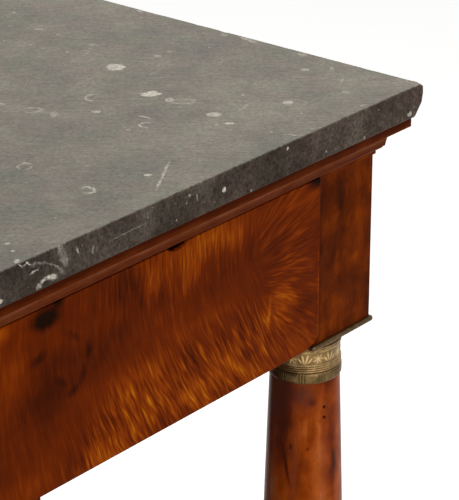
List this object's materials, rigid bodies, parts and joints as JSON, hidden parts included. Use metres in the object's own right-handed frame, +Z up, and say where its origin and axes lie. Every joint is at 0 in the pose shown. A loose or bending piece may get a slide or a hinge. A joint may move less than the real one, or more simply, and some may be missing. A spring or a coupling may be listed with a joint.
{
  "type": "pier table",
  "caption": "Mahogany pier table with a grey fossil-marble top, one long frieze drawer, tapering front columns with brass collars, rear pilasters and a curved plinth.",
  "frame": {"origin": "on the floor, under the middle of the marble top", "axes": "+X along the front to the right, +Y back towards the wall, +Z up"},
  "size_m": [1.16, 0.46, 0.88],
  "materials": {
    "grey_marble": "honed, worn grey fossil stone",
    "flame_mahogany": "crotch veneer, french polished",
    "plain_mahogany": "straight-grained, french polished",
    "carcase_oak": "planed secondary wood, unpolished",
    "chased_brass": "antique, chased and milled",
    "dark_brass": "antique, patinated",
    "iron_nail": "hand-forged, dull"
  },
  "bodies": {
    "root": {"marble_top": "grey_marble", "cornice_front": "plain_mahogany", "cornice_left": "plain_mahogany", "cornice_right": "plain_mahogany", "corner_block_front_left": "plain_mahogany", "corner_block_front_right": "plain_mahogany", "corner_block_rear_left": "plain_mahogany", "corner_block_rear_right": "plain_mahogany", "frieze_side_left": "flame_mahogany", "frieze_side_right": "flame_mahogany", "frieze_back_rail": "carcase_oak", "top_front_rail": "carcase_oak", "bottom_front_rail": "plain_mahogany", "top_cross_rail_left": "carcase_oak", "top_cross_rail_right": "carcase_oak", "drawer_runner_left": "carcase_oak", "drawer_runner_right": "carcase_oak", "drawer_guide_left": "carcase_oak", "drawer_guide_right": "carcase_oak", "drawer_kicker_left": "carcase_oak", "drawer_kicker_right": "carcase_oak", "column_left": "plain_mahogany", "column_right": "plain_mahogany", "column_capital_left": "chased_brass", "column_capital_right": "chased_brass", "column_base_left": "chased_brass", "column_base_right": "chased_brass", "abacus_front_left": "dark_brass", "abacus_front_right": "dark_brass", "abacus_rear_left": "dark_brass", "abacus_rear_right": "dark_brass", "pilaster_left": "plain_mahogany", "pilaster_right": "plain_mahogany", "pilaster_capital_left": "chased_brass", "pilaster_capital_right": "chased_brass", "pilaster_base_left": "chased_brass", "pilaster_base_right": "chased_brass", "back_panel": "plain_mahogany", "plinth_board": "plain_mahogany", "plinth_front": "plain_mahogany", "plinth_side_left": "plain_mahogany", "plinth_side_right": "plain_mahogany", "plinth_back": "carcase_oak", "plinth_glue_blocks": "carcase_oak"},
    "drawer": {"drawer_front": "flame_mahogany", "drawer_side_left": "carcase_oak", "drawer_side_right": "carcase_oak", "drawer_back": "carcase_oak", "drawer_bottom": "carcase_oak", "drawer_bottom_nails": "iron_nail"}
  },
  "joints": [
    {"name": "drawer_slide", "type": "slide", "parent": "root", "child": "drawer", "axis": [0, -1, 0], "range_m": [0, 0.25]}
  ]
}
